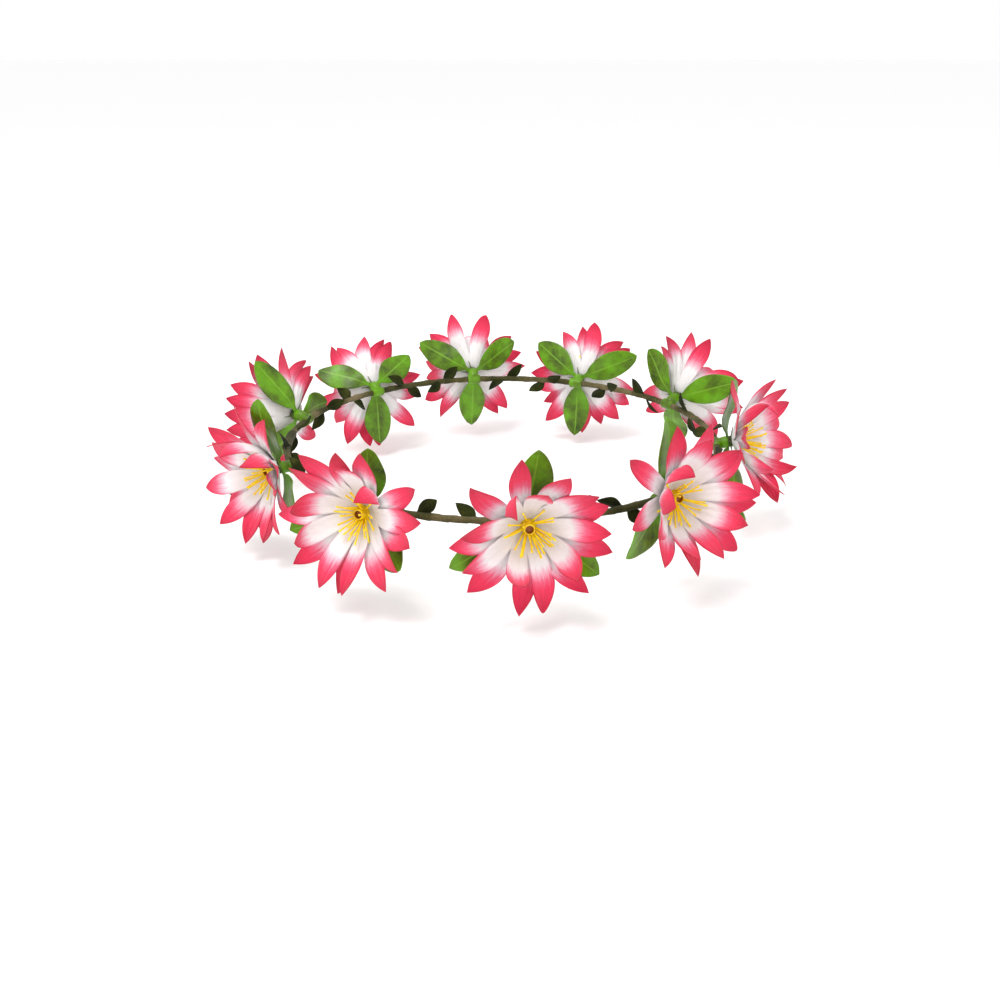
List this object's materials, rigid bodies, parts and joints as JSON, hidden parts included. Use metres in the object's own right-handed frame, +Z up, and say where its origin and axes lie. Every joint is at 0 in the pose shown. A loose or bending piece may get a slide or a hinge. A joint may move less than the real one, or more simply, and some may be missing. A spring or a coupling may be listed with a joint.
{
  "type": "flower crown",
  "caption": "Wire hoop wrapped as a green vine, with fabric flowers that turn round it and spin on their calyxes.",
  "frame": {"origin": "centre of the hoop, in the plane of its wire", "axes": "+Z up on the wearer's head, -Y the forehead, +X the wearer's left"},
  "size_m": [0.2475, 0.2349, 0.0701],
  "materials": {
    "core_wire": "drawn wire",
    "splice": "crimped",
    "vine_wrap": "twisted olive wrap",
    "trim_leaf": "velvet",
    "green_leaf": "moulded leaf with veins",
    "calyx": "matt",
    "petal_outer": "dyed satin, white fading to pink",
    "petal_inner": "dyed satin, white fading to pink",
    "stamen": "soft moulded plastic"
  },
  "bodies": {
    "hoop": {"hoop_wire": "core_wire", "wire_splice": "splice", "vine_wrap": "vine_wrap", "seam_tape": "vine_wrap", "trim_leaves_front": "trim_leaf", "trim_leaves_left": "trim_leaf", "trim_leaves_back": "trim_leaf", "trim_leaves_right": "trim_leaf"},
    "spray_01": {"leaf_spray_01": "green_leaf", "calyx_01": "calyx"},
    "head_01": {"petals_outer_01": "petal_outer", "petals_inner_01": "petal_inner", "stamens_01": "stamen"},
    "spray_02": {"leaf_spray_02": "green_leaf", "calyx_02": "calyx"},
    "head_02": {"petals_outer_02": "petal_outer", "petals_inner_02": "petal_inner", "stamens_02": "stamen"},
    "spray_03": {"leaf_spray_03": "green_leaf", "calyx_03": "calyx"},
    "head_03": {"petals_outer_03": "petal_outer", "petals_inner_03": "petal_inner", "stamens_03": "stamen"},
    "spray_04": {"leaf_spray_04": "green_leaf", "calyx_04": "calyx"},
    "head_04": {"petals_outer_04": "petal_outer", "petals_inner_04": "petal_inner", "stamens_04": "stamen"},
    "spray_05": {"leaf_spray_05": "green_leaf", "calyx_05": "calyx"},
    "head_05": {"petals_outer_05": "petal_outer", "petals_inner_05": "petal_inner", "stamens_05": "stamen"},
    "spray_06": {"leaf_spray_06": "green_leaf", "calyx_06": "calyx"},
    "head_06": {"petals_outer_06": "petal_outer", "petals_inner_06": "petal_inner", "stamens_06": "stamen"},
    "spray_07": {"leaf_spray_07": "green_leaf", "calyx_07": "calyx"},
    "head_07": {"petals_outer_07": "petal_outer", "petals_inner_07": "petal_inner", "stamens_07": "stamen"},
    "spray_08": {"leaf_spray_08": "green_leaf", "calyx_08": "calyx"},
    "head_08": {"petals_outer_08": "petal_outer", "petals_inner_08": "petal_inner", "stamens_08": "stamen"},
    "spray_09": {"leaf_spray_09": "green_leaf", "calyx_09": "calyx"},
    "head_09": {"petals_outer_09": "petal_outer", "petals_inner_09": "petal_inner", "stamens_09": "stamen"},
    "spray_10": {"leaf_spray_10": "green_leaf", "calyx_10": "calyx"},
    "head_10": {"petals_outer_10": "petal_outer", "petals_inner_10": "petal_inner", "stamens_10": "stamen"}
  },
  "joints": [
    {"name": "spray_01_turn", "type": "hinge", "parent": "hoop", "child": "spray_01", "pos_m": [0.00784, -0.08966, 0], "axis": [0.9962, 0.0872, 0], "range_deg": [-20, 20]},
    {"name": "head_01_spin", "type": "hinge", "parent": "spray_01", "child": "head_01", "pos_m": [0.00872, -0.097, 0.00151], "axis": [0.1391, -0.9897, 0.0349], "continuous": true},
    {"name": "spray_02_turn", "type": "hinge", "parent": "hoop", "child": "spray_02", "pos_m": [0.05785, -0.06894, 0], "axis": [0.766, 0.6428, 0], "range_deg": [-20, 20]},
    {"name": "head_02_spin", "type": "hinge", "parent": "spray_02", "child": "head_02", "pos_m": [0.06147, -0.0748, 0.00291], "axis": [0.4441, -0.8715, 0.2079], "continuous": true},
    {"name": "spray_03_turn", "type": "hinge", "parent": "hoop", "child": "spray_03", "pos_m": [0.08951, -0.00941, 0], "axis": [0.1045, 0.9945, 0], "range_deg": [-20, 20]},
    {"name": "head_03_spin", "type": "hinge", "parent": "spray_03", "child": "head_03", "pos_m": [0.09613, -0.01199, 0.00248], "axis": [0.8065, -0.504, 0.309], "continuous": true},
    {"name": "spray_04_turn", "type": "hinge", "parent": "hoop", "child": "spray_04", "pos_m": [0.07715, 0.04635, 0], "axis": [-0.515, 0.8572, 0], "range_deg": [-20, 20]},
    {"name": "head_04_spin", "type": "hinge", "parent": "spray_04", "child": "head_04", "pos_m": [0.08191, 0.05101, 0.00258], "axis": [0.6278, 0.7753, 0.0698], "continuous": true},
    {"name": "spray_05_turn", "type": "hinge", "parent": "hoop", "child": "spray_05", "pos_m": [0.03661, 0.08222, 0], "axis": [-0.9135, 0.4067, 0], "range_deg": [-20, 20]},
    {"name": "head_05_spin", "type": "hinge", "parent": "spray_05", "child": "head_05", "pos_m": [0.03893, 0.08893, 0.00044], "axis": [0.2662, 0.9285, -0.2588], "continuous": true},
    {"name": "spray_06_turn", "type": "hinge", "parent": "hoop", "child": "spray_06", "pos_m": [-0.01408, 0.08889, 0], "axis": [-0.9877, -0.1564, 0], "range_deg": [-20, 20]},
    {"name": "head_06_spin", "type": "hinge", "parent": "spray_06", "child": "head_06", "pos_m": [-0.01503, 0.09489, 0.0023], "axis": [-0.1556, 0.9823, -0.1045], "continuous": true},
    {"name": "spray_07_turn", "type": "hinge", "parent": "hoop", "child": "spray_07", "pos_m": [-0.06022, 0.06688, 0], "axis": [-0.7431, -0.6691, 0], "range_deg": [-20, 20]},
    {"name": "head_07_spin", "type": "hinge", "parent": "spray_07", "child": "head_07", "pos_m": [-0.06267, 0.0717, 0.00107], "axis": [-0.3422, 0.847, -0.4067], "continuous": true},
    {"name": "spray_08_turn", "type": "hinge", "parent": "hoop", "child": "spray_08", "pos_m": [-0.08693, 0.02329, 0], "axis": [-0.2588, -0.9659, 0], "range_deg": [-20, 20]},
    {"name": "head_08_spin", "type": "hinge", "parent": "spray_08", "child": "head_08", "pos_m": [-0.09307, 0.02638, 0.00182], "axis": [-0.8375, 0.5439, -0.0523], "continuous": true},
    {"name": "spray_09_turn", "type": "hinge", "parent": "hoop", "child": "spray_09", "pos_m": [-0.08285, -0.03517, 0], "axis": [0.3907, -0.9205, 0], "range_deg": [-20, 20]},
    {"name": "head_09_spin", "type": "hinge", "parent": "spray_09", "child": "head_09", "pos_m": [-0.08896, -0.03959, 0.00028], "axis": [-0.7071, -0.7071, 0], "continuous": true},
    {"name": "spray_10_turn", "type": "hinge", "parent": "hoop", "child": "spray_10", "pos_m": [-0.045, -0.07794, 0], "axis": [0.866, -0.5, 0], "range_deg": [-20, 20]},
    {"name": "head_10_spin", "type": "hinge", "parent": "spray_10", "child": "head_10", "pos_m": [-0.04846, -0.08471, 0.00118], "axis": [-0.4185, -0.8975, 0.1392], "continuous": true}
  ]
}
